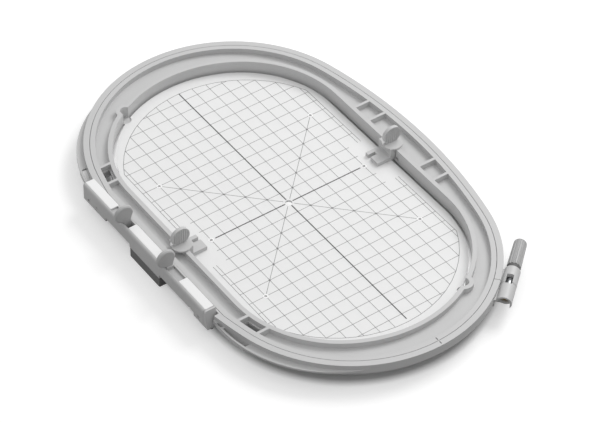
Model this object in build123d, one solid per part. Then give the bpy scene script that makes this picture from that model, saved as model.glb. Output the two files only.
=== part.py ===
from build123d import *
from math import atan2, cos, degrees, radians, sin, sqrt
import os

os.makedirs("parts", exist_ok=True)

# Millimetres. The origin is the centre of the sewing field on the fabric plane,
# the underside of both rings. +Y runs along the hoop, +Z is up and the machine
# is on the -X side.

# Levels
rim_top = 10.2
trough_depth = 4.0
trough_level = rim_top - trough_depth
trough_floor = 1.7
skirt_bottom = 3.6
top_plate = 2.0
flange_top = 6.6
flange_bottom = 5.2

# Opening of the inner hoop
opening_half_width = 81.0
opening_half_length = 137.5
corner_inset = 6.0
end_bulge = 5.0
opening_corner_r = opening_half_width - corner_inset
opening_end_r = opening_half_width + end_bulge
lip_wall = 3.0

# Contour of the rim, on the trough's side
side_trough = 16.5
end_trough = 15.5
rim_end_inset = 7.5
rim_half_width = opening_half_width + side_trough
rim_half_length = opening_half_length + end_trough
rim_end_r = rim_half_width - rim_end_inset
inner_rim_width = 3.4
outer_rim_width = 4.1
seam_gap = 0.3
outer_wall = 1.6
outer_edge = inner_rim_width + outer_rim_width

# The left side is flat beside the connector
flat_reach = 14.0
flat_side_x = -opening_half_width - flat_reach
flat_rim_width = 3.6

# Ribs across the trough
rib_thickness = 2.0
right_rib_ys = (42.5, 27.0, -27.0, -42.5)
left_rib_ys = (89.0, 73.5, -73.5, -89.0)
pocket_margin = 0.9

# Two round bays in the lip
bay_x = 43.2
bay_r = 3.5
bay_floor = 1.2
bay_play = 0.3

# Notches in the lip for the template's grips
notch_front = 6.6
notch_rear = 8.0
notch_level = 5.0
notch_foot_reach = 2.5
notch_foot_level = 2.4
notch_foot_depth = 1.6

# Template sheet
sheet_side_gap = 2.7
sheet_end_gap = 1.5
sheet_corner_inset = 5.3
sheet_bulge = 6.7
sheet_half_width = opening_half_width - sheet_side_gap
sheet_half_length = opening_half_length - sheet_end_gap
sheet_corner_r = sheet_half_width - sheet_corner_inset
sheet_end_r = sheet_half_width + sheet_bulge
sheet_bottom = 0.4
sheet_thickness = 1.6
mark_spacing = 60.0
mark_hole_r = 1.0
centre_hole_r = 2.3

# Template grips
arm_front = 5.6
arm_rear = 7.5
arm_gap = 0.05
arm_wall = 3.4
arm_inset = 1.0
arm_inner_x = sheet_half_width - arm_inset
foot_length = 10.5
foot_thickness = 2.8
foot_slot_rear = 4.6
foot_slot_front = 2.1
foot_slot_depth = 5.2
peg_r = 0.9
peg_clearance = 0.05
peg_inset = 2.6
plate_level = 0.1
plate_thickness = 1.2
plate_r = 6.9
plate_reach = 4.2
disc_offset = 1.6
disc_r = 6.6
disc_thickness = 2.4
disc_sink = 0.9
disc_frame = 0.9
disc_relief = 0.4
disc_grooves = 7
groove_width_share = 0.55

# Connector housing
bay_wall = 1.2
housing_inner_x = flat_side_x - seam_gap - bay_wall
housing_width = 8.1
housing_outer_x = housing_inner_x - housing_width
housing_rear_share = 0.5818
housing_front_share = 0.41455
connector_share = 0.08145
housing_rear_y = opening_half_length * housing_rear_share
housing_front_y = -opening_half_length * housing_front_share
connector_y = opening_half_length * connector_share
housing_top = 13.0
housing_wall = 1.5
housing_side_wall = 1.2
housing_round = 1.9
housing_skirt = 2.8
foot_rear_length = 26.0
foot_front_length = 10.5
rear_foot_y = housing_rear_y - foot_rear_length
front_foot_y = housing_front_y + foot_front_length
housing_seat = 0.05
slot_near = 18.2
slot_far = 38.8
slot_hidden = 6.0
strip_thickness = 1.0
strip_width = 6.2
strip_outer_x = housing_inner_x - strip_width
strip_gap = 0.1
strip_peg_r = 0.8
strip_peg_inset = 5.0
cap_length = 5.0
cap_top_length = 1.8
cap_round = 1.9
cap_gap = 0.25
cap_plug = 4.0
plate_under_strip = 1.6
under_strip = housing_top - strip_thickness
plate_bottom = under_strip - plate_under_strip
channel_x_high = housing_inner_x - housing_side_wall
channel_x_low = housing_outer_x + housing_wall
channel_x = (channel_x_high + channel_x_low) / 2

# Shelf of the outer hoop under the housing
shelf_thickness = 2.0
shelf_reach = 6.1
shelf_outer_x = housing_inner_x - shelf_reach
shelf_gap = 0.1

# Flanges beside the ends of the connector
wing_shift_x = 17.5
wing_shift_y = 7.5
wing_inset = 6.5
wing_middle_x = -wing_shift_x
wing_middle_y = rim_half_length - rim_end_r + wing_shift_y
wing_r = rim_end_r - wing_inset
wing_edge = 1.4
front_pocket_lead = 9.2
front_pocket_length = 20.0
rear_pocket_lead = 6.9
rear_pocket_length = 10.0
front_slot_lead = 3.4
front_slot_length = 4.2
front_slot_width = 1.3

# Slides and release grips
cover_overlap = 0.4
slide_gap = 0.1
grip_face = 22.5
grip_neck_length = 4.0
grip_travel = 4.2
bar_thickness = 2.0
upright_gap = 1.8
upright_top = plate_bottom - upright_gap
tenon_height = 1.9
tenon_width = 2.0
tenon_length = 2.0
rod_level = 6.4
rod_r = 0.9
rod_overhang = 2.0
rod_play = 0.08
tongue_width = 2.0
tongue_length = 1.6
tongue_bottom = -5.2
cover_thickness = 1.0
cover_play = 0.3
cover_top = under_strip - cover_play
paddle_shift = 2.1
paddle_x = channel_x - paddle_shift
paddle_r = 6.6
paddle_play = 0.3
paddle_rise = 7.4
paddle_bottom = housing_top + paddle_play
paddle_level = housing_top + paddle_rise
paddle_thickness = 3.0
paddle_edge = 0.8
stop_length = 2.0
stop_bottom = 4.7
spring_wire_r = 0.3
spring_mean_r = 1.5
spring_turns = 7
spring_end_gap = 0.1

# Coupling block under the housing
pin_spacing = 16.0
pin_bore_r = 2.0
pin_bore_depth = 6.0
screw_beside_pin = 5.0
coupling_screw_offset = pin_spacing / 2 + screw_beside_pin
block_front_reach = 6.2
block_rear_reach = 1.8
block_front_y = connector_y - coupling_screw_offset - block_front_reach
block_rear_y = connector_y + coupling_screw_offset + block_rear_reach
block_depth = 7.6
block_round = 0.8

# Small screws
screw_shank_r = 0.8
screw_head_r = 1.6
screw_head_height = 1.1
screw_play = 0.05
screw_slot = 0.5
housing_screw_inset = 14.0
housing_screw_offset = 34.8
boss_length = 4.4
boss_r = 1.45
boss_top = 4.0
boss_play = 0.2
housing_screw_length = 7.0

# Holes on the housing's outer face
face_hole_r = 1.0
face_hole_level = 2.9
face_hole_depth = 1.0
rear_hole_insets = (6.0, 15.3)
front_hole_insets = (5.4, 14.7)

# Clamp at the front right
clamp_angle = -50.0
barrel_r = 5.1
barrel_rise = 0.3
clamp_radius = rim_end_r + outer_edge + seam_gap + barrel_r
clamp_level = barrel_r + barrel_rise
barrel_back = 14.5
barrel_front = 14.1
lug_front = 13.2
split_gap = 0.4
lug_depth = 4.6
lug_rise = 1.4
lug_bite = 3.9
lug_reach = barrel_r + lug_bite
window_start = -1.3
window_end = 6.6
window_half_width = 2.2
arch_depth = 4.5
arch_wall = 1.2
arch_reach = 6.0
screw_r = 2.0
screw_clearance = 0.3
screw_tip = 0.25
nut_r = 3.2
nut_length = 4.0
nut_depth = 8.5
nut_play = 0.05
collar_length = 3.2
collar_gap = 0.12
knob_r = 4.6
knob_taper = 0.35
knob_tip_r = knob_r - knob_taper
collar_inset = 0.25
collar_r = knob_r - collar_inset
knob_length = 23.0
knob_round = 1.6
knob_flutes = 12
flute_r = 0.6
knob_bore_depth = 9.0


def slab(face, low, high):
    """A flat face in XY, made solid between two heights."""
    return Pos(0, 0, low) * extrude(face, high - low)


def block(x_low, x_high, y_low, y_high, z_low, z_high):
    """A box given by its sides."""
    middle = Pos((x_low + x_high) / 2, (y_low + y_high) / 2, (z_low + z_high) / 2)
    return middle * Box(abs(x_high - x_low), abs(y_high - y_low), abs(z_high - z_low))


def opening_face(half_width, half_length, corner_r, end_r, grow):
    """Straight sides, four corner arcs and two end arcs that run into each other."""
    width = half_width + grow
    corner = corner_r + grow
    end = end_r + grow
    corner_x = half_width - corner_r
    end_y = half_length - end_r
    corner_y = end_y + sqrt((end_r - corner_r) ** 2 - corner_x ** 2)
    turn = degrees(atan2(corner_y - end_y, corner_x))
    edges = [Line((width, -corner_y), (width, corner_y))]
    edges += [CenterArc((corner_x, corner_y), corner, 0, turn)]
    edges += [CenterArc((0, end_y), end, turn, 180 - 2 * turn)]
    edges += [CenterArc((-corner_x, corner_y), corner, 180 - turn, turn)]
    edges += [Line((-width, corner_y), (-width, -corner_y))]
    edges += [CenterArc((-corner_x, -corner_y), corner, 180, turn)]
    edges += [CenterArc((0, -end_y), end, 180 + turn, 180 - 2 * turn)]
    edges += [CenterArc((corner_x, -corner_y), corner, -turn, turn)]
    return make_face(edges)


def opening(grow):
    width = opening_half_width
    length = opening_half_length
    return opening_face(width, length, opening_corner_r, opening_end_r, grow)


def oval(grow):
    """The rim's contour: two long side arcs and two end arcs."""
    across = rim_end_r ** 2 - rim_half_width ** 2 - (rim_half_length - rim_end_r) ** 2
    side_r = across / (2 * (rim_end_r - rim_half_width))
    side_x = rim_half_width - side_r
    end_y = rim_half_length - rim_end_r
    turn = degrees(atan2(end_y, -side_x))
    edges = [CenterArc((side_x, 0), side_r + grow, -turn, 2 * turn)]
    edges += [CenterArc((0, end_y), rim_end_r + grow, turn, 180 - 2 * turn)]
    edges += [CenterArc((-side_x, 0), side_r + grow, 180 - turn, 2 * turn)]
    edges += [CenterArc((0, -end_y), rim_end_r + grow, 180 + turn, 180 - 2 * turn)]
    return make_face(edges)


def flat_oval(grow, flat_x):
    """The same contour with its left side cut flat."""
    reach = rim_half_length + grow
    keep = Pos(flat_x + reach, 0) * Rectangle(2 * reach, 2 * reach)
    return oval(grow) & keep


def rod_along_y(radius, x, y_low, y_high, z):
    """A round bar along Y."""
    bar = Cylinder(radius, y_high - y_low, align=(Align.CENTER, Align.CENTER, Align.MIN))
    return Pos(x, y_low, z) * Rot(-90, 0, 0) * bar


def post(radius, x, y, low, high):
    """A round bar along Z."""
    bar = Cylinder(radius, high - low, align=(Align.CENTER, Align.CENTER, Align.MIN))
    return Pos(x, y, low) * bar


def from_middle(side, distance):
    """A place along the connector, counted from its middle."""
    return connector_y + side * distance


# Inner hoop

flat_step_x = flat_side_x + flat_rim_width
step = flat_oval(0, flat_step_x)
lip_inside = opening(0)
lip_outside = opening(lip_wall)
trough = step - lip_outside
inner_outline = flat_oval(inner_rim_width, flat_side_x)

inner_hoop = slab(inner_outline - lip_inside, 0, rim_top)
inner_hoop -= slab(trough, trough_level, rim_top)
inner_hoop -= slab(trough, 0, trough_level - trough_floor)

far_right = rim_half_width + rim_half_width
for rib_y in right_rib_ys:
    rib_strip = Pos(far_right / 2, rib_y) * Rectangle(far_right, rib_thickness)
    inner_hoop += slab(trough & rib_strip, 0, rim_top)
for rib_y in left_rib_ys:
    rib_strip = Pos(-far_right / 2, rib_y) * Rectangle(far_right, rib_thickness)
    inner_hoop += slab(trough & rib_strip, 0, rim_top)

# The pockets between the ribs on the left are open to below
pocket_length = left_rib_ys[0] - left_rib_ys[1] - rib_thickness
pocket_middle = (left_rib_ys[0] + left_rib_ys[1]) / 2
pocket_area = flat_oval(-pocket_margin, flat_step_x + pocket_margin)
pocket_area -= opening(lip_wall + pocket_margin)
for pocket_side in (1, -1):
    pocket_strip = Rectangle(far_right, pocket_length - pocket_margin)
    pocket_strip = Pos(-far_right / 2, pocket_side * pocket_middle) * pocket_strip
    inner_hoop -= slab(pocket_area & pocket_strip, 0, rim_top)

# Two round bays, half a turn apart, round which the lip runs outward
opening_end_y = opening_half_length - opening_end_r
bay_y = opening_end_y + sqrt(opening_end_r ** 2 - bay_x ** 2)
bay_places = (Pos(-bay_x, bay_y), Pos(bay_x, -bay_y))
for bay_place in bay_places:
    bay_lip = bay_place * Circle(bay_r + lip_wall)
    inner_hoop += slab(bay_lip - lip_inside, 0, rim_top)
    inner_hoop += slab(bay_place * Circle(bay_r), 0, bay_floor)
for bay_place in bay_places:
    inner_hoop -= slab(bay_place * Circle(bay_r), bay_floor, rim_top)

# Notches for the template's grips, wider at the foot on the front side
for side in (1, -1):
    notch_in = side * (opening_half_width - lip_wall)
    notch_out = side * (opening_half_width + lip_wall + arm_gap)
    ends = sorted((notch_in, notch_out))
    inner_hoop -= block(ends[0], ends[1], -notch_front, notch_rear, notch_level, rim_top)
    foot_out = side * (opening_half_width + lip_wall + notch_foot_depth)
    ends = sorted((notch_in, foot_out))
    foot_front = -notch_front - notch_foot_reach
    foot_top = trough_level - trough_floor
    inner_hoop -= block(ends[0], ends[1], foot_front, -notch_front, notch_foot_level, foot_top)
    inner_hoop -= block(ends[0], ends[1], -notch_front, -arm_front, notch_foot_level, notch_level)

# Outer hoop: a channel that is open below, split at the clamp

outer_inside = flat_oval(inner_rim_width + seam_gap, flat_side_x - seam_gap)
outer_outline = oval(outer_edge + seam_gap)
outer_hoop = slab(outer_outline - outer_inside, 0, rim_top)
skirt_inside = oval(outer_edge + seam_gap - outer_wall)
channel_area = skirt_inside - oval(inner_rim_width + seam_gap + outer_wall)
outer_hoop -= slab(channel_area, 0, rim_top - top_plate)
outer_hoop -= slab(oval(outer_edge + outer_edge) - skirt_inside, 0, skirt_bottom)

# The bay that takes the connector
bay_rear = housing_rear_y + housing_seat
bay_front = housing_front_y - cap_length - housing_seat
wall_outer_x = flat_side_x - seam_gap - bay_wall
bay_cut = block(housing_outer_x * 2, wall_outer_x, bay_front, bay_rear, 0, housing_top)
outer_hoop -= bay_cut
wall_inner_x = flat_side_x - seam_gap
bay_wall_body = block(wall_outer_x, wall_inner_x, bay_front, bay_rear, 0, rim_top)
outer_hoop += bay_wall_body - slab(outer_inside, 0, rim_top)
outer_hoop += block(shelf_outer_x, wall_inner_x, bay_front, bay_rear, 0, shelf_thickness)


def wing_band(low_y, high_y):
    """The part of the left side between two heights along Y."""
    left = 2 * abs(housing_outer_x)
    return Pos(-left / 2, (low_y + high_y) / 2) * Rectangle(left, high_y - low_y)


def wing(side, start_y, pocket_lead, pocket_length):
    """Flange between the ring and the end of the connector, fading into the ring."""
    pocket_start = start_y + pocket_lead
    pocket_end = pocket_start + pocket_length
    outline = Pos(wing_middle_x, wing_middle_y) * Circle(wing_r)
    inside = Pos(wing_middle_x, wing_middle_y) * Circle(wing_r - wing_edge)
    area = outline & wing_band(start_y, start_y + rim_half_length)
    area -= oval(outer_edge - outer_wall)
    flange = slab(area, flange_bottom, flange_top)
    wall = (outline - inside) & wing_band(start_y, pocket_end)
    wall -= oval(outer_edge)
    flange += slab(wall, skirt_bottom, flange_top)
    hole = inside & wing_band(pocket_start, pocket_end)
    hole -= oval(outer_edge + seam_gap)
    flange -= slab(hole, 0, flange_top)
    if side < 0:
        slot_start = start_y + front_slot_lead
        slot = oval(outer_edge + seam_gap + front_slot_width)
        slot -= oval(outer_edge + seam_gap)
        slot &= wing_band(slot_start, slot_start + front_slot_length)
        flange -= slab(slot, 0, flange_top)
        flange = mirror(flange, about=Plane.XZ)
    return flange


outer_hoop += wing(-1, -bay_front, front_pocket_lead, front_pocket_length)
outer_hoop += wing(1, bay_rear, rear_pocket_lead, rear_pocket_length)

# Lugs of the clamp, drawn with X along the screw
clamp_turn = radians(clamp_angle)
clamp_x = clamp_radius * cos(clamp_turn)
clamp_y = rim_end_r - rim_half_length + clamp_radius * sin(clamp_turn)
clamp_way = (-sin(clamp_turn), cos(clamp_turn), 0)
clamp_middle = (clamp_x, clamp_y, clamp_level)
clamp_place = Location(Plane(origin=clamp_middle, x_dir=clamp_way, z_dir=(0, 0, 1)))


def along_clamp(radius, start, end):
    """A round bar on the screw's axis."""
    bar = Cylinder(radius, end - start, align=(Align.CENTER, Align.CENTER, Align.MIN))
    return clamp_place * (Pos(start, 0, 0) * Rot(0, 90, 0) * bar)


def beside_clamp(start, end, outward, inward, low, high):
    """A box in the clamp's own directions."""
    return clamp_place * block(start, end, outward, inward, low, high)


lug_body = beside_clamp(-barrel_back, lug_front, 0, lug_reach, -lug_depth, lug_rise)
lug_body -= slab(oval(inner_rim_width + seam_gap + outer_wall), 0, rim_top)
outer_hoop += lug_body
outer_hoop += along_clamp(barrel_r, -barrel_back, barrel_front)
outer_hoop -= along_clamp(screw_r + screw_clearance, -barrel_back, barrel_front)
outer_hoop -= along_clamp(nut_r + nut_play, -barrel_back, -nut_depth + nut_length)
arch_end = -barrel_back + arch_depth
outer_hoop -= along_clamp(barrel_r - arch_wall, -barrel_back, arch_end)
arch_top = lug_rise - arch_wall
outer_hoop -= beside_clamp(-barrel_back, arch_end, 0, arch_reach, -barrel_r, arch_top)
outer_hoop -= beside_clamp(-barrel_back, arch_end, arch_wall - barrel_r, 0, -barrel_r, 0)
window_side = window_half_width
outer_hoop -= beside_clamp(window_start, window_end, -window_side, window_side, -screw_r, barrel_r)
split = 2 * barrel_r
outer_hoop -= beside_clamp(-split_gap / 2, split_gap / 2, -split, 2 * split, -split, split)

# Screw holes in the shelf, the slot for the slides' tongues and the guide bosses
for offset in (coupling_screw_offset, -coupling_screw_offset):
    outer_hoop += post(boss_r, channel_x, connector_y + offset, 0, boss_top)
rear_screw_y = housing_rear_y - housing_screw_inset
front_screw_y = housing_front_y + housing_screw_inset
housing_screw_ys = [rear_screw_y, connector_y + housing_screw_offset]
housing_screw_ys += [connector_y - housing_screw_offset, front_screw_y]
for screw_y in housing_screw_ys:
    outer_hoop -= post(screw_shank_r + screw_play, channel_x, screw_y, 0, shelf_thickness)
    outer_hoop -= post(screw_head_r + screw_play, channel_x, screw_y, 0, screw_head_height)
for offset in (coupling_screw_offset, -coupling_screw_offset):
    outer_hoop -= post(screw_shank_r + screw_play, channel_x, connector_y + offset, 0, boss_top)
tongue_reach = pin_spacing / 2 - pin_bore_r + tongue_width / 4
tongue_slot_x = tongue_width / 2 + 2 * slide_gap
tongue_left = channel_x - tongue_slot_x
tongue_right = channel_x + tongue_slot_x
tongue_front = from_middle(-1, tongue_reach)
tongue_rear = from_middle(1, tongue_reach)
outer_hoop -= block(tongue_left, tongue_right, tongue_front, tongue_rear, 0, shelf_thickness)

# Template sheet

sheet_sizes = (sheet_half_width, sheet_half_length, sheet_corner_r, sheet_end_r)
template_face = opening_face(*sheet_sizes, 0)
template_face -= Circle(centre_hole_r)
for bay_place in bay_places:
    template_face -= bay_place * Circle(bay_r + bay_play)
for mark_x in (-mark_spacing, 0, mark_spacing):
    for mark_y in (-mark_spacing, 0, mark_spacing):
        if mark_x != 0:
            template_face -= Pos(mark_x, mark_y) * Circle(mark_hole_r)
foot_start = arm_inner_x - foot_length
peg_x = foot_start + peg_inset
peg_ys = ((foot_slot_rear + arm_rear) / 2, (foot_slot_front - arm_front) / 2)
for side in (1, -1):
    for peg_y in peg_ys:
        template_face -= Pos(side * peg_x, peg_y) * Circle(peg_r + peg_clearance)
sheet_top = sheet_bottom + sheet_thickness
template = slab(template_face, sheet_bottom, sheet_top)

# Template grip for the right side: a slotted foot riveted to the sheet, a wall
# up through the notch, a plate over the lip and a ridged disc to pull it by

seat = sheet_top + arm_gap
foot_top = seat + foot_thickness
arm_outer_x = opening_half_width + lip_wall
plate_bottom_z = rim_top + plate_level
plate_top_z = plate_bottom_z + plate_thickness
disc_x = opening_half_width + disc_offset
disc_z = plate_top_z + disc_r - disc_sink

template_grip = block(foot_start, arm_inner_x + arm_wall, -arm_front, arm_rear, seat, foot_top)
slot_end = foot_start + foot_slot_depth
template_grip -= block(foot_start, slot_end, foot_slot_front, foot_slot_rear, seat, foot_top)
for peg_y in peg_ys:
    template_grip += post(peg_r, peg_x, peg_y, sheet_bottom, foot_top)
wall_x = arm_inner_x + arm_wall
template_grip += block(arm_inner_x, wall_x, -arm_front, arm_rear, seat, plate_top_z)
web_bottom = notch_level + arm_gap
template_grip += block(arm_inner_x, arm_outer_x, -arm_front, arm_rear, web_bottom, plate_top_z)
plate_face = Pos(disc_x, 0) * Circle(plate_r)
plate_face += Pos(disc_x, arm_rear / 2) * Rectangle(2 * plate_reach, arm_rear)
plate_keep = Rectangle(2 * disc_x, arm_rear + plate_r, align=(Align.MIN, Align.MAX))
plate_face &= Pos(0, arm_rear) * plate_keep
template_grip += slab(plate_face, plate_bottom_z, plate_top_z)
disc_place = Pos(disc_x, disc_thickness, disc_z)
disc = disc_place * extrude(Plane.XZ * Circle(disc_r), disc_thickness)
template_grip += disc
groove_r = disc_r - disc_frame
groove_step = 2 * groove_r / disc_grooves
groove_face = Rectangle(groove_step * groove_width_share, 2 * groove_r)
for groove in range(disc_grooves):
    groove_x = groove_step / 2 + groove_step * groove - groove_r
    groove_area = Circle(groove_r) & (Pos(groove_x, 0) * groove_face)
    groove_cut = extrude(Plane.XZ * groove_area, disc_relief)
    template_grip -= Pos(disc_x, disc_relief, disc_z) * groove_cut
template_grip_right = template_grip

# Left grip: mirrored across, so that both ridged faces look to the front
template_grip_left = mirror(template_grip_right, about=Plane.YZ)

# Connector housing

profile = Rectangle(housing_width, housing_top, align=(Align.MAX, Align.MIN))
profile = Pos(housing_inner_x, 0) * profile
housing_outline = extrude(Plane.XZ * profile, housing_rear_y - housing_front_y)
housing = Pos(-housing_seat, housing_rear_y, 0) * housing_outline
corner_edges = housing.edges().filter_by(Axis.Y).group_by(Axis.Z)[-1].sort_by(Axis.X)[0:1]
housing = fillet(corner_edges, housing_round)
channel_rear_y = housing_rear_y - housing_wall
housing -= block(channel_x_low, channel_x_high, housing_front_y, channel_rear_y, 0, plate_bottom)
shelf_side_x = shelf_outer_x - shelf_gap
shelf_top = shelf_thickness + shelf_gap
housing -= block(shelf_side_x, housing_inner_x, housing_front_y, housing_rear_y, 0, shelf_top)
foot_outer = housing_outer_x - housing_wall
for foot_low, foot_high in ((front_foot_y, block_front_y), (block_rear_y, rear_foot_y)):
    housing -= block(foot_outer, housing_inner_x, foot_low, foot_high, 0, housing_skirt)
rear_end = housing_rear_y - connector_y
front_end = housing_front_y - connector_y
strip_ranges = ((slot_far, rear_end), (-slot_near, slot_near), (front_end, -slot_far))
for strip_low, strip_high in strip_ranges:
    low = connector_y + strip_low
    high = connector_y + strip_high
    housing -= block(strip_outer_x - strip_gap, housing_inner_x, low, high, under_strip, housing_top)
for side in (1, -1):
    near = from_middle(side, slot_near)
    ends = sorted((near, from_middle(side, slot_far + slot_hidden)))
    housing -= block(channel_x_low, channel_x_high, ends[0], ends[1], plate_bottom, under_strip)
    ends = sorted((near, from_middle(side, slot_far)))
    housing -= block(channel_x_low, channel_x_high, ends[0], ends[1], under_strip, housing_top)
for screw_y in housing_screw_ys:
    low = screw_y - boss_length / 2
    high = screw_y + boss_length / 2
    boss = block(channel_x_low, channel_x_high, low, high, shelf_top, plate_bottom)
    boss -= post(screw_shank_r + screw_play, channel_x, screw_y, 0, housing_screw_length + screw_play)
    housing += boss
low = from_middle(-1, stop_length / 2)
high = from_middle(1, stop_length / 2)
housing += block(channel_x_low, channel_x_high, low, high, stop_bottom, plate_bottom)
low = from_middle(-1, stop_length)
high = from_middle(1, stop_length)
housing -= rod_along_y(rod_r + screw_play, channel_x, low, high, rod_level)
face_hole_ys = [housing_rear_y - inset for inset in rear_hole_insets]
face_hole_ys += [housing_front_y + inset for inset in front_hole_insets]
for hole_y in face_hole_ys:
    bar = Cylinder(face_hole_r, 2 * face_hole_depth)
    housing -= Pos(housing_outer_x, hole_y, face_hole_level) * Rot(0, 90, 0) * bar

# Cover strips, each with two pegs in the plate under it

strips = []
for strip_low, strip_high in strip_ranges:
    low = connector_y + strip_low + strip_gap
    high = connector_y + strip_high - strip_gap
    strip = block(strip_outer_x, housing_inner_x - strip_gap, low, high, under_strip, housing_top)
    strips.append(strip)
middle_pegs = (-slot_near + strip_peg_inset, slot_near - strip_peg_inset)
first_peg = slot_far + slot_hidden + strip_peg_inset
rear_pegs = (first_peg, rear_end - strip_peg_inset)
front_pegs = (front_end + strip_peg_inset, -first_peg)
for strip_number, peg_offsets in enumerate((rear_pegs, middle_pegs, front_pegs)):
    for peg_offset in peg_offsets:
        peg_y = connector_y + peg_offset
        strips[strip_number] += post(strip_peg_r, channel_x, peg_y, plate_bottom, under_strip)
        hole_r = strip_peg_r + screw_play
        housing -= post(hole_r, channel_x, peg_y, plate_bottom - strip_gap, under_strip)
cover_strip_rear = strips[0]
cover_strip_middle = strips[1]
cover_strip_front = strips[2]

# End cap with a sloping front and a plug that goes into the housing

cap_back = housing_front_y - cap_gap
cap_front = housing_front_y - cap_length
cap_profile = Polygon(
    (cap_back, 0),
    (cap_back, housing_top),
    (housing_front_y - cap_top_length, housing_top),
    (cap_front, 0),
    align=None,
)
end_cap = extrude(Plane.YZ * cap_profile, -housing_width)
end_cap = Pos(housing_inner_x - housing_seat, 0, 0) * end_cap
outer_edges = end_cap.edges().group_by(Axis.X)[0].sort_by(Axis.Z)[-1:]
end_cap = fillet(outer_edges, cap_round)
end_cap -= block(shelf_side_x, housing_inner_x, cap_front - cap_length, cap_back, 0, shelf_top)
plug_left = channel_x_low + slide_gap
plug_right = channel_x_high - slide_gap
plug_low = shelf_top + shelf_gap
plug_high = plate_bottom - slide_gap
end_cap += block(plug_left, plug_right, cap_back, cap_back + cap_plug, plug_low, plug_high)

# Slides with their tongues, and the release grips on them


def latch(side):
    face = grip_face
    back = grip_face + grip_neck_length
    tip = pin_spacing / 2 - pin_bore_r - slide_gap
    root = tip - tongue_length
    bar_low = shelf_thickness + slide_gap
    bar_high = bar_low + bar_thickness
    left = channel_x_low + slide_gap
    right = channel_x_high - slide_gap
    ends = sorted((from_middle(side, root), from_middle(side, back)))
    slide = block(left, right, ends[0], ends[1], bar_low, bar_high)
    ends = sorted((from_middle(side, face), from_middle(side, back)))
    slide += block(left, right, ends[0], ends[1], bar_low, upright_top)
    tenon_start = (face + back - tenon_length) / 2
    ends = sorted((from_middle(side, tenon_start), from_middle(side, tenon_start + tenon_length)))
    half = tenon_width / 2
    tenon_top = upright_top + tenon_height
    slide += block(channel_x - half, channel_x + half, ends[0], ends[1], upright_top, tenon_top)
    ends = sorted((from_middle(side, root), from_middle(side, tip)))
    half = tongue_width / 2
    slide += block(channel_x - half, channel_x + half, ends[0], ends[1], tongue_bottom, bar_high)
    window_near = coupling_screw_offset - boss_r - boss_play
    window_far = coupling_screw_offset + boss_r + boss_play + grip_travel
    ends = sorted((from_middle(side, window_near), from_middle(side, window_far)))
    half = boss_r + boss_play
    slide -= block(channel_x - half, channel_x + half, ends[0], ends[1], bar_low, bar_high)
    ends = sorted((from_middle(side, face), from_middle(side, back)))
    slide -= rod_along_y(rod_r + rod_play, channel_x, ends[0], ends[1], rod_level)
    return slide


def release_grip(side):
    face = grip_face
    back = grip_face + grip_neck_length
    left = channel_x_low + slide_gap
    right = channel_x_high - slide_gap
    ends = sorted((from_middle(side, face), from_middle(side, back)))
    neck_low = upright_top + slide_gap / 2
    grip = block(left, right, ends[0], ends[1], neck_low, paddle_bottom + paddle_edge)
    cover_end = slot_far + grip_travel + cover_overlap
    ends = sorted((from_middle(side, back), from_middle(side, cover_end)))
    grip += block(left, right, ends[0], ends[1], cover_top - cover_thickness, cover_top)
    tenon_start = (face + back - tenon_length) / 2
    near = tenon_start - screw_play
    far = tenon_start + tenon_length + screw_play
    ends = sorted((from_middle(side, near), from_middle(side, far)))
    half = tenon_width / 2 + screw_play
    hole_top = upright_top + tenon_height + screw_play
    grip -= block(channel_x - half, channel_x + half, ends[0], ends[1], upright_top, hole_top)
    paddle_face = Pos(paddle_x, paddle_level) * Circle(paddle_r)
    paddle_face += Polygon(
        (paddle_x - paddle_r, paddle_level),
        (paddle_x + paddle_r, paddle_level),
        (right, paddle_bottom),
        (left, paddle_bottom),
        align=None,
    )
    paddle = extrude(Plane.XZ * paddle_face, paddle_thickness / 2, both=True)
    rim = paddle.faces().filter_by(Axis.Y).edges()
    paddle = chamfer(rim, paddle_edge)
    middle = from_middle(side, face + paddle_thickness / 2)
    grip += Pos(0, middle, 0) * paddle
    return grip


latch_rear = latch(1)
latch_front = latch(-1)
release_grip_rear = release_grip(1)
release_grip_front = release_grip(-1)

# Springs on their rod


def grip_spring(side):
    start = stop_length / 2 + spring_end_gap + spring_wire_r
    length = grip_face - spring_end_gap - spring_wire_r - start
    path = Helix(length / spring_turns, length, spring_mean_r)
    wire_face = Plane(origin=path @ 0, z_dir=path % 0) * RegularPolygon(spring_wire_r, 4)
    coil = sweep(wire_face, path=Wire([path]), is_frenet=True)
    coil = Rot(-90, 0, 0) * coil
    if side < 0:
        coil = Rot(180, 0, 0) * coil
    return Pos(channel_x, from_middle(side, start), rod_level) * coil


grip_spring_rear = grip_spring(1)
grip_spring_front = grip_spring(-1)
rod_end = grip_face + grip_neck_length + rod_overhang
spring_rod = rod_along_y(rod_r, channel_x, from_middle(-1, rod_end), from_middle(1, rod_end), rod_level)

# Coupling block with the two sockets for the machine's pins

block_right = housing_inner_x - housing_seat
block_top = -screw_play
coupling_block = block(housing_outer_x, block_right, block_front_y, block_rear_y, -block_depth, block_top)
coupling_block = fillet(coupling_block.edges().filter_by(Axis.Z), block_round)
for side in (1, -1):
    pin_y = from_middle(side, pin_spacing / 2)
    coupling_block -= post(pin_bore_r, channel_x, pin_y, -block_depth, pin_bore_depth - block_depth)
    screw_y = from_middle(side, coupling_screw_offset)
    coupling_block -= post(screw_shank_r + screw_play, channel_x, screw_y, -block_depth, 0)
    head_top = screw_head_height - block_depth
    coupling_block -= post(screw_head_r + screw_play, channel_x, screw_y, -block_depth, head_top)
tongue_floor = tongue_bottom - slide_gap
coupling_block -= block(tongue_left, tongue_right, tongue_front, tongue_rear, tongue_floor, 0)

# Small screws, seen from below


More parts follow.
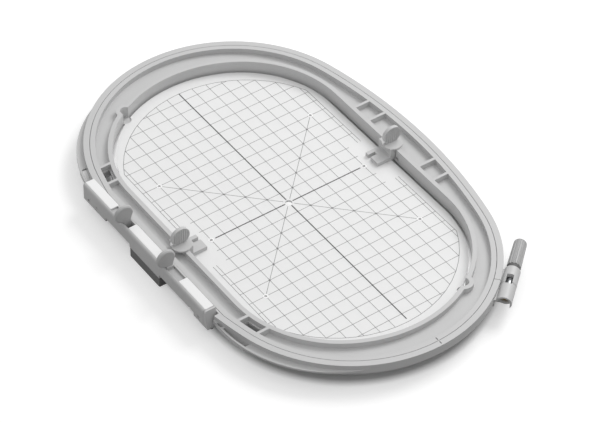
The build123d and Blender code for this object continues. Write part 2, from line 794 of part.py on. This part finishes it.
def small_screw(y, low, high):
    screw = post(screw_shank_r, channel_x, y, low, high)
    screw += post(screw_head_r, channel_x, y, low, low + screw_head_height - screw_play)
    left = channel_x - screw_head_r
    right = channel_x + screw_head_r
    half = screw_slot / 2
    screw -= block(left, right, y - half, y + half, low, low + screw_slot)
    return screw


housing_screws = Compound([small_screw(y, 0, housing_screw_length) for y in housing_screw_ys])
coupling_screw_ys = (from_middle(1, coupling_screw_offset), from_middle(-1, coupling_screw_offset))
coupling_screw_top = boss_top - screw_play
coupling_screws = Compound(
    [small_screw(y, -block_depth, coupling_screw_top) for y in coupling_screw_ys]
)

# Clamp screw, nut, collar and knob

collar_start = barrel_front + collar_gap
knob_start = collar_start + collar_length + collar_gap
screw_start = -nut_depth - screw_tip
screw_end = knob_start + knob_bore_depth
clamp_screw = along_clamp(screw_r, screw_start, screw_end)
clamp_nut = along_clamp(nut_r, -nut_depth, -nut_depth + nut_length - nut_play)
clamp_nut -= along_clamp(screw_r + nut_play, -nut_depth, nut_depth)
clamp_collar = along_clamp(collar_r, collar_start, collar_start + collar_length)
clamp_collar -= along_clamp(screw_r + nut_play, collar_start, collar_start + collar_length)
knob_bar = Cone(knob_r, knob_tip_r, knob_length, align=(Align.CENTER, Align.CENTER, Align.MIN))
knob_bar = fillet(knob_bar.edges().group_by(Axis.Z)[-1], knob_round)
flute_bar = Cylinder(flute_r, knob_length, align=(Align.CENTER, Align.CENTER, Align.MIN))
for flute in range(knob_flutes):
    flute_place = Rot(0, 0, 360 / knob_flutes * flute) * Pos(knob_r, 0, 0)
    knob_bar -= flute_place * flute_bar
clamp_knob = clamp_place * (Pos(knob_start, 0, 0) * Rot(0, 90, 0) * knob_bar)
clamp_knob -= along_clamp(screw_r, knob_start, screw_end)

nodes = {
    "outer_hoop": outer_hoop,
    "inner_hoop": inner_hoop,
    "template": template,
    "template_grip_left": template_grip_left,
    "template_grip_right": template_grip_right,
    "connector_housing": housing,
    "cover_strip_rear": cover_strip_rear,
    "cover_strip_middle": cover_strip_middle,
    "cover_strip_front": cover_strip_front,
    "end_cap": end_cap,
    "latch_rear": latch_rear,
    "latch_front": latch_front,
    "release_grip_rear": release_grip_rear,
    "release_grip_front": release_grip_front,
    "grip_spring_rear": grip_spring_rear,
    "grip_spring_front": grip_spring_front,
    "spring_rod": spring_rod,
    "coupling_block": coupling_block,
    "housing_screws": housing_screws,
    "coupling_screws": coupling_screws,
    "clamp_screw": clamp_screw,
    "clamp_nut": clamp_nut,
    "clamp_collar": clamp_collar,
    "clamp_knob": clamp_knob,
}
for name, shape in nodes.items():
    export_step(shape, "parts/" + name + ".step")
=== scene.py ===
import bmesh
import bpy
from math import asin, cos, pi, sin, sqrt
from mathutils import Matrix, Vector


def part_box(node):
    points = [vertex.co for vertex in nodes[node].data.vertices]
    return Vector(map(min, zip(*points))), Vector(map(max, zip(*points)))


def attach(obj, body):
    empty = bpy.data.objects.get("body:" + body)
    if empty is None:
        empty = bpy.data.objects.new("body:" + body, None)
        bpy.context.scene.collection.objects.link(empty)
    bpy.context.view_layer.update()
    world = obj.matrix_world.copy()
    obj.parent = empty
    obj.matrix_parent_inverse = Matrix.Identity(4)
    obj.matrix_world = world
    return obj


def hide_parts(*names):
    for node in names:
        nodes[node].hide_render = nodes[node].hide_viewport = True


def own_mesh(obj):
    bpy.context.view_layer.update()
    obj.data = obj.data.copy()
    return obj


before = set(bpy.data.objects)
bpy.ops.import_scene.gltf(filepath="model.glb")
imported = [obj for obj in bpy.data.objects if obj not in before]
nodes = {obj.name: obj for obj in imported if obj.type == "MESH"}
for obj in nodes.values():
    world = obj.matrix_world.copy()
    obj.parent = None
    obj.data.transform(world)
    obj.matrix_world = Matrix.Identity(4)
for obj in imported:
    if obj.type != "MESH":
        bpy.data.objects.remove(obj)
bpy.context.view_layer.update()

# Outer hoop: the large oval channel ring with the connector's bay, the flanges
# beside it and the clamp's lugs. Injection-moulded ABS with a fine matt finish,
# split at the clamp and closed by its screw.
hoop_flow_length = 0.033
grain_size = 0.0005
grain_depth = 0.0001
edge_radius = 0.0003
edge_samples = 6


def linear(hex_colour):
    """An sRGB hex colour as linear RGBA."""
    shares = [int(hex_colour[i:i + 2], 16) / 255 for i in (1, 3, 5)]
    return [s / 12.92 if s <= 0.04045 else ((s + 0.055) / 1.055) ** 2.4 for s in shares] + [1]


def add_node(owner, kind, inputs=None, **settings):
    """Adds a node to a material or the world, with its settings, values and links."""
    made = owner.node_tree.nodes.new(kind)
    for name, value in settings.items():
        setattr(made, name, value)
    for name, value in (inputs or {}).items():
        if isinstance(value, bpy.types.NodeSocket):
            owner.node_tree.links.new(value, made.inputs[name])
        else:
            made.inputs[name].default_value = value
    return made


def new_material(name):
    """An empty node material."""
    material = bpy.data.materials.new(name)
    material.use_nodes = True
    material.node_tree.nodes.clear()
    return material


def finish_material(material, inputs):
    """Puts a Principled shader with these inputs on the material's output."""
    surface = add_node(material, "ShaderNodeBsdfPrincipled", inputs)
    add_node(material, "ShaderNodeOutputMaterial", {"Surface": surface.outputs[0]})
    return material


def paint(piece, material):
    """Gives every material slot of a piece this material."""
    if not piece.data.materials:
        piece.data.materials.append(material)
    for number in range(len(piece.data.materials)):
        piece.data.materials[number] = material


def moulded_plastic(name, light, dark, flow_length, roughness, grain_strength, ior):
    """Moulded plastic between two greys, with flow marks, a grain and rounded edges."""
    plastic = new_material(name)
    place = add_node(plastic, "ShaderNodeTexCoord").outputs["Object"]
    # Flow marks one to three centimetres long, hardly seen, in tone and in gloss
    flow = add_node(plastic, "ShaderNodeTexNoise", {
        "Vector": place,
        "Scale": 1 / flow_length,
        "Detail": 2.0,
    })
    shade = add_node(plastic, "ShaderNodeMix", {
        "Factor": flow.outputs["Fac"],
        6: linear(light),
        7: linear(dark),
    }, data_type="RGBA")
    gloss = add_node(plastic, "ShaderNodeMapRange", {
        "Value": flow.outputs["Fac"],
        "To Min": roughness[0],
        "To Max": roughness[1],
    })
    # The mould's spark-eroded grain is about 0.2 mm, too fine for the picture, and
    # is drawn at 0.5 mm
    grain = add_node(plastic, "ShaderNodeTexNoise", {
        "Vector": place,
        "Scale": 1 / grain_size,
        "Detail": 2.0,
    })
    # Moulded edges are rounded by about 0.3 mm and catch a thin line of light
    soft_edge = add_node(plastic, "ShaderNodeBevel", {"Radius": edge_radius}, samples=edge_samples)
    relief = add_node(plastic, "ShaderNodeBump", {
        "Height": grain.outputs["Fac"],
        "Strength": grain_strength,
        "Distance": grain_depth,
        "Normal": soft_edge.outputs[0],
    })
    return finish_material(plastic, {
        "Base Color": shade.outputs[2],
        "Roughness": gloss.outputs[0],
        "Normal": relief.outputs[0],
        "IOR": ior,
    })


# Matt, so that the walls shade softly and no lamp shows in the rims
hoop_plastic = moulded_plastic(
    "White ABS, injection moulded, fine matt texture", "#CACACA", "#C4C4C4",
    hoop_flow_length, roughness=(0.42, 0.52), grain_strength=0.12, ior=1.54)
paint(nodes["outer_hoop"], hoop_plastic)

# Inner hoop: the oval ring that the fabric is clamped round, with its ribbed
# trough and the lip round the opening. Moulded in the same ABS, and pressed down
# into the outer hoop.
paint(nodes["inner_hoop"], hoop_plastic)

# Template: a milky acrylic plate, cut from 1.6 mm sheet, with drilled marking
# holes. It lies loose in the inner hoop's opening.
haze_size = 0.025


def mottled_material(name, colour, mark_size, detail, roughness, inputs):
    """One colour, with a roughness that wanders between two values over fine marks."""
    material = new_material(name)
    place = add_node(material, "ShaderNodeTexCoord").outputs["Object"]
    marks = add_node(material, "ShaderNodeTexNoise", {
        "Vector": place,
        "Scale": 1 / mark_size,
        "Detail": detail,
    })
    gloss = add_node(material, "ShaderNodeMapRange", {
        "Value": marks.outputs["Fac"],
        "To Min": roughness[0],
        "To Max": roughness[1],
    })
    inputs = {"Base Color": linear(colour), "Roughness": gloss.outputs[0], **inputs}
    return finish_material(material, inputs)


# A satin face with soft broad highlights, a little duller in places. The alpha
# lets a fifth of what lies below show through, as the milky sheet does
template_plastic = mottled_material(
    "Translucent white acrylic sheet, satin", "#F8F8F8", haze_size, 2.0, (0.42, 0.52),
    {"IOR": 1.49, "Alpha": 0.8})
paint(nodes["template"], template_plastic)

# Printed grid: the 10 mm grid with its outline, and the two diagonals with a dot
# at each crossing. Screen-printed on the template in thin grey ink, left open
# beside the grips and round the marking holes.
line_width = 0.00032
ink_thickness = 0.00003
sheet_top = 0.002
print_half_width = 0.0725
print_half_length = 0.1275
print_end_r = 0.0805
print_side_start = 0.0205
print_side_end = 0.0625
grid_step = 0.01
long_lines = 7
cross_lines = 12
marked_line = 6
hole_gap = 0.0013
outline_steps = 20
diagonal_start = 0.0025
diagonal_reach = 0.0585
diagonal_dots = 5
dot_r = 0.0007
dot_sides = 12
# A screen's threads are about 0.1 mm apart, too fine for the picture, so the
# unevenness that they leave in the ink is drawn at 1.1 mm
ink_patch_size = 0.0011


def printed_ink(name, dark, light):
    """Printing ink between two greys, thinner in places, as a screen leaves it. The centre marks'
    painted shade is mottled the same way.
    """
    ink = new_material(name)
    place = add_node(ink, "ShaderNodeTexCoord").outputs["Object"]
    fade = add_node(ink, "ShaderNodeTexNoise", {
        "Vector": place,
        "Scale": 1 / ink_patch_size,
        "Detail": 3.0,
    })
    shade = add_node(ink, "ShaderNodeMix", {
        "Factor": fade.outputs["Fac"],
        6: linear(dark),
        7: linear(light),
    }, data_type="RGBA")
    return finish_material(ink, {"Base Color": shade.outputs[2], "Roughness": 0.5, "IOR": 1.5})


def new_piece(name, mesh, material, body):
    """Makes a piece of a finished mesh, paints it and hangs it on its body."""
    bmesh.ops.recalc_face_normals(mesh, faces=mesh.faces)
    data = bpy.data.meshes.new(name)
    mesh.to_mesh(data)
    mesh.free()
    piece = bpy.data.objects.new(name, data)
    bpy.context.scene.collection.objects.link(piece)
    paint(piece, material)
    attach(piece, body)
    return piece


def raise_faces(mesh, faces, height):
    """Extrudes faces straight up by a height."""
    top = bmesh.ops.extrude_face_region(mesh, geom=faces)
    moved = [part for part in top["geom"] if isinstance(part, bmesh.types.BMVert)]
    bmesh.ops.translate(mesh, verts=moved, vec=(0, 0, height))


def ink_bar(mesh, start, end, width, low, thickness):
    """A printed line as a thin flat bar between two points."""
    first = Vector((start[0], start[1], low))
    last = Vector((end[0], end[1], low))
    along = last - first
    across = Vector((-along.y, along.x, 0)).normalized() * (width / 2)
    corners = (first + across, first - across, last - across, last + across)
    face = mesh.faces.new([mesh.verts.new(corner) for corner in corners])
    raise_faces(mesh, [face], thickness)


def print_line(mesh, start, end, holes):
    """A thin printed line between two points, broken where it meets a marking hole."""
    start = Vector(start)
    end = Vector(end)
    way = (end - start).normalized()
    for hole in sorted(holes, key=lambda place: (Vector(place) - start).length):
        near = Vector(hole) - way * hole_gap
        ink_bar(mesh, start, near, line_width, sheet_top, ink_thickness)
        start = Vector(hole) + way * hole_gap
    ink_bar(mesh, start, end, line_width, sheet_top, ink_thickness)


mark_spacing = marked_line * grid_step
end_middle = print_half_length - print_end_r
mesh = bmesh.new()
# Lines along the hoop, each as two halves that end on the outline
for number in range(-long_lines, long_lines + 1):
    if number == 0:
        continue
    x = number * grid_step
    reach = end_middle + sqrt(print_end_r ** 2 - x ** 2)
    marked = abs(number) == marked_line
    start = print_side_start if abs(x) > print_side_end else 0
    if marked:
        start = hole_gap
    for way in (1, -1):
        holes = [(x, way * mark_spacing)] if marked else []
        print_line(mesh, (x, way * start), (x, way * reach), holes)
# Lines across the hoop, shorter beside the grips and in the round ends
for number in range(-cross_lines, cross_lines + 1):
    if number == 0:
        continue
    y = number * grid_step
    side = print_half_width if abs(y) >= print_side_start else print_side_end
    if abs(y) > end_middle:
        side = min(side, sqrt(print_end_r ** 2 - (abs(y) - end_middle) ** 2))
    marked = abs(number) == marked_line
    holes = [(way * mark_spacing, y) for way in (-1, 1)] if marked else []
    print_line(mesh, (-side, y), (side, y), holes)
# Outline: two open sides and a round end, on each half
first_turn = -asin(print_half_width / print_end_r)
outline = [(-print_half_width, print_side_start)]
for step in range(outline_steps + 1):
    turn = first_turn * (1 - 2 * step / outline_steps)
    outline.append((print_end_r * sin(turn), end_middle + print_end_r * cos(turn)))
outline.append((print_half_width, print_side_start))
for way in (1, -1):
    for first, second in zip(outline, outline[1:]):
        start = (first[0], way * first[1])
        end = (second[0], way * second[1])
        ink_bar(mesh, start, end, line_width, sheet_top, ink_thickness)
# Diagonals, with a dot at each crossing of the grid
for way in (1, -1):
    for side in (1, -1):
        start = (side * diagonal_start, side * way * diagonal_start)
        end = (side * diagonal_reach, side * way * diagonal_reach)
        print_line(mesh, start, end, [])
    for number in range(-diagonal_dots, diagonal_dots + 1):
        if number == 0:
            continue
        centre = (number * grid_step, way * number * grid_step, sheet_top + ink_thickness)
        bmesh.ops.create_cone(
            mesh, cap_ends=True, segments=dot_sides, radius1=dot_r, radius2=dot_r,
            depth=2 * ink_thickness, matrix=Matrix.Translation(centre))
thin_ink = printed_ink("Grey screen-print ink, thin lines", "#707070", "#7E7E7E")
new_piece("template_print", mesh, thin_ink, "template_sheet")

# Axes of the print: the two thick lines through the centre, screen-printed in a
# second pass of darker ink. They stop short of the centre hole.
axis_width = 0.00075
long_axis_rear = 0.1275
long_axis_front = 0.125
short_axis_reach = 0.057
centre_gap = 0.003
axis_ink = printed_ink("Dark grey screen-print ink, axes", "#3E3E3E", "#4C4C4C")
mesh = bmesh.new()
for start, end in ((centre_gap, long_axis_rear), (-long_axis_front, -centre_gap)):
    ink_bar(mesh, (0, start), (0, end), axis_width, sheet_top, 2 * ink_thickness)
for start, end in ((centre_gap, short_axis_reach), (-short_axis_reach, -centre_gap)):
    ink_bar(mesh, (start, 0), (end, 0), axis_width, sheet_top, 2 * ink_thickness)
new_piece("template_axes", mesh, axis_ink, "template_sheet")

# White rings round the template's marking holes, screen-printed in opaque white
# ink so that the holes stand out on the grid.
ring_width = 0.0007
mark_hole_r = 0.00103
ring_sides = 28
# The ink dries dull, and a little uneven from the screen's mesh
white_ink = mottled_material(
    "White screen-print ink, opaque", "#FFFFFF", ink_patch_size, 3.0, (0.45, 0.6),
    {"IOR": 1.5})
mesh = bmesh.new()
for x in (-mark_spacing, mark_spacing):
    for y in (-mark_spacing, 0, mark_spacing):
        rims = set()
        for radius in (mark_hole_r, mark_hole_r + ring_width):
            rim = bmesh.ops.create_circle(
                mesh, segments=ring_sides, radius=radius,
                matrix=Matrix.Translation((x, y, sheet_top)))
            rims.update(edge for vert in rim["verts"] for edge in vert.link_edges)
        band = bmesh.ops.bridge_loops(mesh, edges=list(rims))["faces"]
        raise_faces(mesh, band, 3 * ink_thickness)
new_piece("template_hole_rings", mesh, white_ink, "template_sheet")

# Centre marks at the front end of both rims: a short line on each, a thin strip whose dark grey is
# painted shade of the marks' relief. They meet when the inner hoop sits straight in the outer one.
rim_top = 0.0102
mark_width = 0.0006
mark_thickness = 0.00005
inner_mark_start = -0.1536
inner_mark_end = -0.1558
outer_mark_start = -0.1574
outer_mark_end = -0.1595
mark_painted_shade = printed_ink("Dark grey painted shade, centre marks", "#4A4A4A", "#585858")
for name, start, end, body in (
        ("inner_centre_mark", inner_mark_start, inner_mark_end, "inner_ring"),
        ("outer_centre_mark", outer_mark_start, outer_mark_end, "hoop")):
    mesh = bmesh.new()
    ink_bar(mesh, (0, start), (0, end), mark_width, rim_top, mark_thickness)
    new_piece(name, mesh, mark_painted_shade, body)

# Template grips: two handles with an upright ridged disc, moulded in ABS. Their
# feet hold the template's edge, and they stand in the notches of the lip.
paint(nodes["template_grip_left"], hoop_plastic)
paint(nodes["template_grip_right"], hoop_plastic)

# Connector housing and end cap: the long box that goes on to the machine's
# carriage, and its sloping end. Moulded ABS, screwed to the outer hoop's wall.
paint(nodes["connector_housing"], hoop_plastic)
paint(nodes["end_cap"], hoop_plastic)

# Cover strips: three nearly white strips that close the housing's top between
# the grips' slots. Moulded polystyrene, laid into the housing.
strip_flow_length = 0.017
# A polished mould leaves a glossy face that takes the softbox as a clear patch
strip_plastic = mottled_material(
    "White polystyrene strip, glossy", "#F4F4F4", strip_flow_length, 2.0, (0.25, 0.35),
    {"IOR": 1.54})
for name in ("cover_strip_rear", "cover_strip_middle", "cover_strip_front"):
    paint(nodes[name], strip_plastic)

# Release grips: two thumb paddles, slightly darker than the hoops and a little
# waxy. Moulded acetal, each pushed on the tenon of its latch.
grip_flow_length = 0.0125
acetal_ior = 1.48
# Acetal has a waxier sheen than the hoops, and the same grain and rounded edges
grip_plastic = moulded_plastic(
    "Light grey acetal, injection moulded, satin", "#BDBDBD", "#B6B6B6",
    grip_flow_length, roughness=(0.36, 0.46), grain_strength=0.1, ior=acetal_ior)
paint(nodes["release_grip_rear"], grip_plastic)
paint(nodes["release_grip_front"], grip_plastic)

# Coupling block: the dark block under the housing with the sockets for the
# carriage's pins. Moulded glass-filled nylon, held to the housing by two screws.
# The glass fibres are about 0.3 mm long, and their grain is drawn at 0.67 mm so
# that it shows
block_grain_size = 0.00067
block_plastic = new_material("Dark grey glass-filled nylon, matt")
place = add_node(block_plastic, "ShaderNodeTexCoord").outputs["Object"]
# The glass fibres roughen the face and take its shine
grain = add_node(block_plastic, "ShaderNodeTexNoise", {
    "Vector": place,
    "Scale": 1 / block_grain_size,
    "Detail": 3.0,
})
relief = add_node(block_plastic, "ShaderNodeBump", {
    "Height": grain.outputs["Fac"],
    "Strength": 0.2,
    "Distance": 0.0002,
})
finish_material(block_plastic, {
    "Base Color": linear("#5A5A5A"),
    "Roughness": 0.6,
    "Normal": relief.outputs[0],
    "IOR": 1.53,
})
paint(nodes["coupling_block"], block_plastic)

# Latches: the two slides under the cover strips, whose tongues go down into the
# coupling block. Moulded in the block's nylon.
paint(nodes["latch_rear"], block_plastic)
paint(nodes["latch_front"], block_plastic)

# Rod and screws: the rod that carries the grip springs, and the screws of the
# housing and of the block. Turned and rolled steel, zinc plated.
# Tool marks are about 0.1 mm apart, and drawn at 0.8 mm so that they show. Under
# the zinc they break up a fairly bright reflection
turning_mark_size = 0.0008
steel = mottled_material(
    "Zinc-plated steel, turned", "#BFC1C3", turning_mark_size, 3.0, (0.22, 0.38),
    {"Metallic": 1.0})
for name in ("spring_rod", "housing_screws", "coupling_screws"):
    paint(nodes[name], steel)

# Grip springs: two coils of drawn wire on the rod that push the latches apart. Each bears on the
# housing's stop.
spring_wire_r = 0.00028
spring_wire_sides = 8
spring_turns = 11
spring_steps = 20
# Drawn wire is smoother than turned steel, with sharper glints on its round. Its
# marks of about 0.05 mm are drawn at 0.55 mm so that they show
drawing_mark_size = 0.00055
wire_steel = mottled_material(
    "Spring steel wire, drawn, bright", "#A9ACAF", drawing_mark_size, 2.0, (0.2, 0.32),
    {"Metallic": 1.0})
for end in ("rear", "front"):
    low_corner, high_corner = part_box("grip_spring_" + end)
    spring_length = high_corner.y - low_corner.y
    coil_r = (high_corner.z - low_corner.z) / 2 - spring_wire_r
    rise = (spring_length - 2 * spring_wire_r) / (spring_turns * spring_steps)
    mesh = bmesh.new()
    bmesh.ops.create_circle(
        mesh, cap_ends=True, segments=spring_wire_sides, radius=spring_wire_r,
        matrix=Matrix.Translation((coil_r, low_corner.y + spring_wire_r, 0)))
    bmesh.ops.spin(
        mesh, geom=[*mesh.verts, *mesh.edges, *mesh.faces], cent=(0, 0, 0), axis=(0, 1, 0),
        dvec=(0, rise, 0), angle=2 * pi * spring_turns, steps=spring_turns * spring_steps,
        use_merge=False, use_duplicate=False)
    coil_middle = (low_corner + high_corner) / 2
    bmesh.ops.translate(mesh, verts=mesh.verts, vec=(coil_middle.x, 0, coil_middle.z))
    spring = new_piece("coil_spring_" + end, mesh, wire_steel, "hoop")
    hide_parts("grip_spring_" + end)
    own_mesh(spring)

# Clamp screw: the steel screw through both lugs that closes the split. Its
# thread is rolled, with 0.7 mm pitch, and shows in the window of the lug.
thread_r = 0.002
thread_height = 0.00004
thread_pitch = 0.0007
thread_width_share = 0.8
thread_length = 0.0105
thread_start = 0.003
thread_steps = 20
screw_place = Vector((0.066143, -0.141826, 0.0054))
screw_axis = Vector((0.766044, 0.642788, 0.0))
paint(nodes["clamp_screw"], steel)
mesh = bmesh.new()
half_width = thread_pitch / 2 * thread_width_share
thread_profile = [
    mesh.verts.new((thread_r - thread_height, 0, -half_width)),
    mesh.verts.new((thread_r + thread_height, 0, 0)),
    mesh.verts.new((thread_r - thread_height, 0, half_width)),
]
face = mesh.faces.new(thread_profile)
thread_turns = int(thread_length / thread_pitch)
bmesh.ops.spin(
    mesh, geom=[face, *thread_profile, *face.edges], cent=(0, 0, 0), axis=(0, 0, 1),
    dvec=(0, 0, thread_pitch / thread_steps), angle=2 * pi * thread_turns,
    steps=thread_turns * thread_steps, use_merge=False, use_duplicate=False)
lay = screw_axis.to_track_quat("Z", "Y").to_matrix().to_4x4()
lay.translation = screw_place + screw_axis * thread_start
bmesh.ops.transform(mesh, matrix=lay, verts=mesh.verts)
new_piece("clamp_thread", mesh, steel, "clamp_turn")

# Clamp collar: a dark washer that the knob bears on, moulded in the block's
# nylon and slipped over the screw.
paint(nodes["clamp_collar"], block_plastic)

# Clamp nut: turned brass, pressed into the far lug, with the screw running in
# it, and seen only from the lug's open end. Tool marks dull it unevenly.
brass = mottled_material(
    "Brass, turned", "#B89A5A", turning_mark_size, 3.0, (0.25, 0.4),
    {"Metallic": 1.0})
paint(nodes["clamp_nut"], brass)

# Clamp knob: the long knob with grip flutes, moulded in acetal a shade darker
# than the release grips and pressed on the screw's end.
knob_plastic = moulded_plastic(
    "Grey acetal, injection moulded, satin", "#ABABAB", "#A4A4A4",
    grip_flow_length, roughness=(0.36, 0.46), grain_strength=0.1, ior=acetal_ior)
paint(nodes["clamp_knob"], knob_plastic)

# Screw under the end cap: a small pan head of blackened steel with a straight
# slot, which holds the cap from below.
cap_screw_r = 0.0016
cap_screw_sides = 28
cap_screw_height = 0.0017
cap_screw_slot = 0.0005
cap_screw_place = (-0.1008, -0.0600, 0)
# A dull black, slightly wetter in spots of about 0.7 mm where the oil stands
oil_mark_size = 0.00067
black_steel = mottled_material(
    "Blackened steel, oiled", "#4C4C4E", oil_mark_size, 3.0, (0.4, 0.55),
    {"Metallic": 1.0})
middle = -cap_screw_height / 2
mesh = bmesh.new()
bmesh.ops.create_cone(
    mesh, cap_ends=True, segments=cap_screw_sides, radius1=cap_screw_r, radius2=cap_screw_r,
    depth=cap_screw_height, matrix=Matrix.Translation((0, 0, middle)))
rim = [edge for edge in mesh.edges if max(end.co.z for end in edge.verts) < middle]
bmesh.ops.bevel(
    mesh, geom=rim, offset=cap_screw_height / 3, segments=3, profile=0.5,
    affect="EDGES", material=-1)
for side in (-cap_screw_slot / 2, cap_screw_slot / 2):
    bmesh.ops.bisect_plane(
        mesh, geom=[*mesh.verts, *mesh.edges, *mesh.faces],
        plane_co=(side, 0, 0), plane_no=(1, 0, 0))
slot_faces = [
    face for face in mesh.faces
    if abs(face.calc_center_median().x) < cap_screw_slot / 2 and face.normal.z < -0.99]
raise_faces(mesh, slot_faces, cap_screw_height / 4)
bmesh.ops.delete(mesh, geom=slot_faces, context="FACES_ONLY")
bmesh.ops.translate(mesh, verts=mesh.verts, vec=cap_screw_place)
new_piece("end_cap_screw", mesh, black_steel, "hoop")

# Floor: a plain pale table top that carries the coupling block, white to the camera where no
# shadow falls. It has a painted shadow in a band under the two rings, and painted light under the
# template.
floor_level = -0.0076
floor_half_size = 3.0
floor_squares = 8
mesh = bmesh.new()
bmesh.ops.create_grid(
    mesh, x_segments=floor_squares, y_segments=floor_squares, size=floor_half_size,
    matrix=Matrix.Translation((0, 0, floor_level)))
data = bpy.data.meshes.new("floor")
mesh.to_mesh(data)
mesh.free()
floor = bpy.data.objects.new("floor", data)
bpy.context.scene.collection.objects.link(floor)
floor_paint = new_material("Matt white table top, painted shade and light")
# To the light it is a duller table, so that little comes back up on the walls
dull = add_node(floor_paint, "ShaderNodeBsdfDiffuse", {"Color": linear("#6A6A6A")})
pale = add_node(floor_paint, "ShaderNodeBsdfDiffuse", {"Color": linear("#DCDCDC")})
# The table's own glow, which makes it white, is left out in the band under the two rings as a
# painted shadow, so that their pockets look down on a dark table. Under the template the glow is
# raised as painted light, so that the sheet and its holes look white
painted_shadow_half_length = 0.06
painted_shadow_inside = 0.081
painted_shadow_outside = 0.098
painted_shadow_fade = 0.003
painted_shadow_glow = 0.02
painted_light_under_sheet = 0.85
outside_glow = 0.42
place = add_node(floor_paint, "ShaderNodeTexCoord").outputs["Object"]
parts = add_node(floor_paint, "ShaderNodeSeparateXYZ", {0: place})
distance = add_node(
    floor_paint, "ShaderNodeMath", {0: parts.outputs["Y"]}, operation="ABSOLUTE")
past_side = add_node(
    floor_paint, "ShaderNodeMath", {0: distance.outputs[0], 1: painted_shadow_half_length},
    operation="SUBTRACT")
beyond = add_node(
    floor_paint, "ShaderNodeMath", {0: past_side.outputs[0], 1: 0.0}, operation="MAXIMUM")
flat = add_node(
    floor_paint, "ShaderNodeCombineXYZ", {"X": parts.outputs["X"], "Y": beyond.outputs[0]})
away = add_node(floor_paint, "ShaderNodeVectorMath", {0: flat.outputs[0]}, operation="LENGTH")
# Painted light under the template, fading into the painted shadow band
inside = add_node(floor_paint, "ShaderNodeMapRange", {
    "Value": away.outputs["Value"],
    "From Min": painted_shadow_inside - painted_shadow_fade,
    "From Max": painted_shadow_inside + painted_shadow_fade,
    "To Min": painted_light_under_sheet,
    "To Max": painted_shadow_glow,
})
# Painted shadow band under the two rings, fading out into the plain white table
outside = add_node(floor_paint, "ShaderNodeMapRange", {
    "Value": away.outputs["Value"],
    "From Min": painted_shadow_outside - painted_shadow_fade,
    "From Max": painted_shadow_outside + painted_shadow_fade,
    "To Min": painted_shadow_glow,
    "To Max": outside_glow,
})
level = add_node(
    floor_paint, "ShaderNodeMath", {0: inside.outputs[0], 1: outside.outputs[0]},
    operation="MAXIMUM")
glow = add_node(floor_paint, "ShaderNodeEmission", {
    "Color": linear("#FFFFFF"),
    "Strength": level.outputs[0],
})
shown = add_node(floor_paint, "ShaderNodeAddShader", {0: pale.outputs[0], 1: glow.outputs[0]})


def eye_ray(owner):
    """Gives 1 to camera, reflection and see-through rays, and 0 to all others."""
    path = add_node(owner, "ShaderNodeLightPath")
    seen = add_node(owner, "ShaderNodeMath", {
        0: path.outputs["Is Camera Ray"],
        1: path.outputs["Is Glossy Ray"],
    }, operation="MAXIMUM")
    seen = add_node(owner, "ShaderNodeMath", {
        0: seen.outputs[0],
        1: path.outputs["Is Transmission Ray"],
    }, operation="MAXIMUM")
    return seen.outputs[0]


mixed = add_node(floor_paint, "ShaderNodeMixShader", {
    0: eye_ray(floor_paint),
    1: dull.outputs[0],
    2: shown.outputs[0],
})
add_node(floor_paint, "ShaderNodeOutputMaterial", {"Surface": mixed.outputs[0]})
floor.data.materials.append(floor_paint)

# World: the room's soft light, which comes from its white ceiling and less from
# its walls. The camera and reflections see plain white.
room_strength = 0.82
wall_share = 0.38
world = bpy.data.worlds.new("studio")
bpy.context.scene.world = world
world.use_nodes = True
world.node_tree.nodes.clear()
way = add_node(world, "ShaderNodeTexCoord").outputs["Generated"]
parts = add_node(world, "ShaderNodeSeparateXYZ", {0: way})
ceiling = add_node(world, "ShaderNodeMapRange", {
    "Value": parts.outputs["Z"],
    "From Min": 0.0,
    "From Max": 1.0,
    "To Min": wall_share,
    "To Max": 1.0,
})
room = add_node(world, "ShaderNodeBackground", {
    "Color": ceiling.outputs[0],
    "Strength": room_strength,
})
white = add_node(world, "ShaderNodeBackground", {"Color": linear("#FFFFFF"), "Strength": 1.0})
mixed = add_node(world, "ShaderNodeMixShader", {
    0: eye_ray(world),
    1: room.outputs[0],
    2: white.outputs[0],
})
add_node(world, "ShaderNodeOutputWorld", {0: mixed.outputs[0]})

# Lamp: one large softbox above on the right, which leaves the walls that face the
# camera darker.
lamp_place = Vector((1.1, 0.25, 1.15))
lamp_size = 0.8
lamp_watts = 12.5
lamp_data = bpy.data.lights.new("softbox", "AREA")
lamp_data.shape = "SQUARE"
lamp_data.size = lamp_size
lamp_data.energy = lamp_watts
lamp = bpy.data.objects.new("softbox", lamp_data)
lamp.location = lamp_place
lamp.rotation_euler = (-lamp_place).to_track_quat("-Z", "Y").to_euler()
bpy.context.scene.collection.objects.link(lamp)

# Camera: a long lens at the photograph's place, 44 degrees above the table. Its
# three directions and its place were fitted to the printed grid.
camera_place = (-0.70403, -0.97378, 1.16044)
camera_right = Vector((0.81406658, -0.58062904, 0.01286523))
camera_up = Vector((0.39694803, 0.57243508, 0.71746104))
camera_back = Vector((-0.42394322, -0.57895423, 0.69647982))
camera_data = bpy.data.cameras.new("camera")
camera_data.lens = 156.12
camera_data.sensor_width = 36
camera = bpy.data.objects.new("camera", camera_data)
turn = Matrix((camera_right, camera_up, camera_back)).transposed().to_4x4()
camera.matrix_world = Matrix.Translation(camera_place) @ turn
bpy.context.scene.collection.objects.link(camera)
bpy.context.scene.camera = camera
bpy.context.scene.view_settings.view_transform = "Standard"
